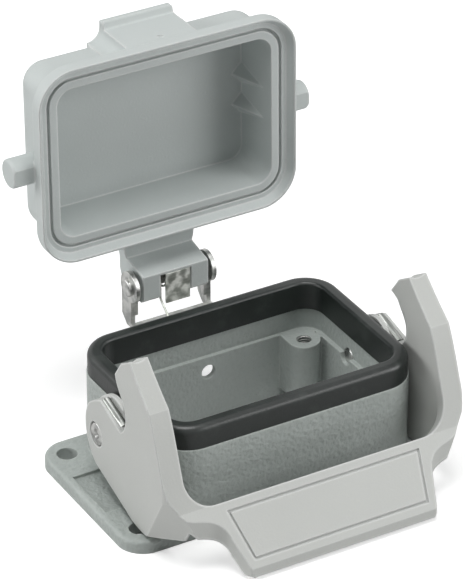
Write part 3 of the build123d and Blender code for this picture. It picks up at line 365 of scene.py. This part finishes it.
def thread_tree():
    tree = bpy.data.node_groups.new("tapped_bosses", "GeometryNodeTree")
    for name, kind, default in THREAD_INPUTS:
        made = tree.interface.new_socket(name, in_out="INPUT", socket_type=kind)
        if default is not None:
            made.default_value = default
    tree.interface.new_socket("Geometry", in_out="OUTPUT", socket_type="NodeSocketGeometry")
    given = tree.nodes.new("NodeGroupInput")

    helix = add(
        tree,
        "GeometryNodeCurveSpiral",
        Resolution=20,
        Rotations=given.outputs["Turns"],
        Start_Radius=given.outputs["Radius"],
        End_Radius=given.outputs["Radius"],
        Height=given.outputs["Length"],
    )
    ridge_size = given.outputs["Ridge"]
    profile = add(tree, "GeometryNodeCurvePrimitiveCircle", Resolution=3, Radius=ridge_size)
    ridge = add(
        tree,
        "GeometryNodeCurveToMesh",
        Curve=helix.outputs["Curve"],
        Profile_Curve=profile.outputs["Curve"],
        Fill_Caps=True,
    )
    corners = add(
        tree,
        "GeometryNodeMeshGrid",
        Size_X=given.outputs["Spread X"],
        Size_Y=given.outputs["Spread Y"],
        Vertices_X=2,
        Vertices_Y=2,
    )
    reach = (given.outputs["Top"], given.outputs["Length"])
    bottom = add(tree, "ShaderNodeMath", {"operation": "SUBTRACT"}, reach)
    lift = add(tree, "ShaderNodeCombineXYZ", Z=bottom.outputs[0])
    raised = add(
        tree,
        "GeometryNodeTransform",
        Geometry=corners.outputs["Mesh"],
        Translation=lift.outputs["Vector"],
    )
    copies = add(
        tree,
        "GeometryNodeInstanceOnPoints",
        Points=raised.outputs["Geometry"],
        Instance=ridge.outputs["Mesh"],
    )
    real = add(tree, "GeometryNodeRealizeInstances", Geometry=copies.outputs["Instances"])
    coated = add(
        tree,
        "GeometryNodeSetMaterial",
        Geometry=real.outputs["Geometry"],
        Material=given.outputs["Finish"],
    )
    result = tree.nodes.new("NodeGroupOutput")
    tree.links.new(coated.outputs["Geometry"], result.inputs["Geometry"])
    return tree


# %% Run the tree once and keep a plain mesh
def run_tree(name, tree, values, body):
    carrier = bpy.data.objects.new(name, bpy.data.meshes.new(name))
    bpy.context.scene.collection.objects.link(carrier)
    modifier = carrier.modifiers.new("nodes", "NODES")
    modifier.node_group = tree
    for item in tree.interface.items_tree:
        if item.in_out == "INPUT" and item.name in values:
            modifier[item.identifier] = values[item.name]
    evaluated = carrier.evaluated_get(bpy.context.evaluated_depsgraph_get())
    mesh = bpy.data.meshes.new_from_object(evaluated)
    carrier.modifiers.remove(modifier)
    carrier.data = mesh
    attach(carrier, body)
    print(name, "has", len(mesh.polygons), "faces")
    return carrier


threads = run_tree("insert_threads", thread_tree(), {"Finish": turned_steel.material}, "base")

# %% [markdown]
# ## The camera
# The photograph was taken with a long lens from the left and above: 30 degrees round and 31
# degrees up. A long lens nearly keeps parallel edges parallel, and here the vertical ones barely
# converge. The numbers come from fitting the corners of the flange, rim and cover to the picture.

# %% Camera
AZIMUTH = radians(-30.0)
ELEVATION = radians(31.16)
ROLL = radians(0.08)
FOCAL_PIXELS = 3776.0
LONG_SIDE = 579
SENSOR_HEIGHT = 36.0
AIM = Vector((3.14, -35.655, 808.0)) / 1000.0

back = Vector((sin(AZIMUTH) * cos(ELEVATION), -cos(AZIMUTH) * cos(ELEVATION), sin(ELEVATION)))
right = Vector((cos(AZIMUTH), sin(AZIMUTH), 0.0))
up = back.cross(right)
turn = Matrix.Rotation(ROLL, 3, back)
right, up = turn @ right, turn @ up

lens = bpy.data.cameras.new("camera")
lens.sensor_fit = "VERTICAL"
lens.sensor_height = SENSOR_HEIGHT
lens.lens = FOCAL_PIXELS / LONG_SIDE * SENSOR_HEIGHT
lens.clip_start = 0.05
camera = bpy.data.objects.new("camera", lens)
bpy.context.scene.collection.objects.link(camera)
camera.matrix_world = Matrix(
    [
        [right[i], up[i], back[i], (back * AIM.z - right * AIM.x - up * AIM.y)[i]] for i in range(3)
    ]
    + [[0.0, 0.0, 0.0, 1.0]]
)
bpy.context.scene.camera = camera
print("camera at", [round(v, 3) for v in camera.matrix_world.translation])
print("lens", round(lens.lens, 1), "mm")

# %% [markdown]
# ## Floor, lamps and a white surround
# The picture is a catalogue shot on white. Four wide lamps light it: one overhead, two on the left
# that mostly reach the outer faces, and one at the front right. The world adds only a little, so
# the inside of the cover and the front of the housing fall into soft shade. The white comes from
# the world and the floor as the camera sees them, not from more light on the object, so the greys
# keep their value. Near the object the floor glows only halfway, which leaves room for the shadow;
# further out, where the lamps fade, it glows up to white.


# %% Lamps
def lamp(name, at, size, watts):
    light = bpy.data.lights.new(name, "AREA")
    light.shape = "DISK"
    light.size = size
    light.energy = watts
    holder = bpy.data.objects.new(name, light)
    bpy.context.scene.collection.objects.link(holder)
    target = Vector((0.0, 0.005, 0.03))
    holder.location = at
    holder.rotation_euler = (target - Vector(at)).to_track_quat("-Z", "Y").to_euler()
    return holder


LAMPS = (
    ("overhead_lamp", (-0.10, -0.05, 0.80), 0.50, 4.0),
    ("left_lamp", (-0.70, 0.05, 0.30), 0.40, 0.8),
    ("rear_left_lamp", (-0.62, 0.32, 0.30), 0.40, 1.8),
    ("front_right_lamp", (0.50, -0.50, 0.35), 0.50, 2.9),
)
for name, at, size, watts in LAMPS:
    lamp(name, at, size, watts)
print("lamps:", len(bpy.data.lights))

# %% World
AMBIENT = 0.06
WHITE = (1.0, 1.0, 1.0, 1.0)
world = bpy.data.worlds.new("surround")
bpy.context.scene.world = world
world.use_nodes = True
sky = world.node_tree
sky.nodes.clear()
rays = add(sky, "ShaderNodeLightPath").outputs
mirrored = add(
    sky,
    "ShaderNodeMath",
    {"operation": "MAXIMUM"},
    (rays["Is Glossy Ray"], rays["Is Transmission Ray"]),
)
seen = add(
    sky,
    "ShaderNodeMath",
    {"operation": "MAXIMUM"},
    (rays["Is Camera Ray"], mirrored.outputs[0]),
)
ambient = add(sky, "ShaderNodeBackground", Color=WHITE, Strength=AMBIENT)
white = add(sky, "ShaderNodeBackground", Color=WHITE, Strength=1.0)
choice = add(sky, "ShaderNodeMixShader", Fac=seen.outputs[0])
sky.links.new(ambient.outputs[0], choice.inputs[1])
sky.links.new(white.outputs[0], choice.inputs[2])
add(sky, "ShaderNodeOutputWorld", Surface=choice.outputs[0])

# %% Floor
REACH = 3.0
GLOW_NEAR, GLOW_FAR = 0.5, 1.0
GLOW_RISES_FROM, GLOW_FULL_AT = 0.10, 0.35
floor_mesh = bpy.data.meshes.new("floor")
floor_mesh.from_pydata(
    [(x * REACH, y * REACH, 0.0) for x, y in ((-1, -1), (1, -1), (1, 1), (-1, 1))],
    [],
    [(0, 1, 2, 3)],
)
floor = bpy.data.objects.new("floor", floor_mesh)
bpy.context.scene.collection.objects.link(floor)
pale = bpy.data.materials.new("pale_floor")
pale.use_nodes = True
tree = pale.node_tree
tree.nodes.clear()
spot = add(tree, "ShaderNodeTexCoord")
away = add(tree, "ShaderNodeVectorMath", {"operation": "LENGTH"}, (spot.outputs["Object"],))
lift = add(
    tree,
    "ShaderNodeMapRange",
    Value=away.outputs["Value"],
    From_Min=GLOW_RISES_FROM,
    From_Max=GLOW_FULL_AT,
    To_Min=GLOW_NEAR,
    To_Max=GLOW_FAR,
)
to_camera = add(tree, "ShaderNodeLightPath").outputs["Is Camera Ray"]
level = add(tree, "ShaderNodeMath", {"operation": "MULTIPLY"}, (to_camera, lift.outputs[0]))
matt = add(tree, "ShaderNodeBsdfDiffuse", Color=(0.80, 0.80, 0.80, 1.0))
glow = add(tree, "ShaderNodeEmission", Strength=level.outputs[0])
both = add(tree, "ShaderNodeAddShader", pair=(matt.outputs[0], glow.outputs[0]))
add(tree, "ShaderNodeOutputMaterial", Surface=both.outputs[0])
floor_mesh.materials.append(pale)

# %% [markdown]
# ## The view transform
# The view transform is the plain one, so that colours come out as they are written.

# %% Finish
bpy.context.scene.view_settings.view_transform = "Standard"
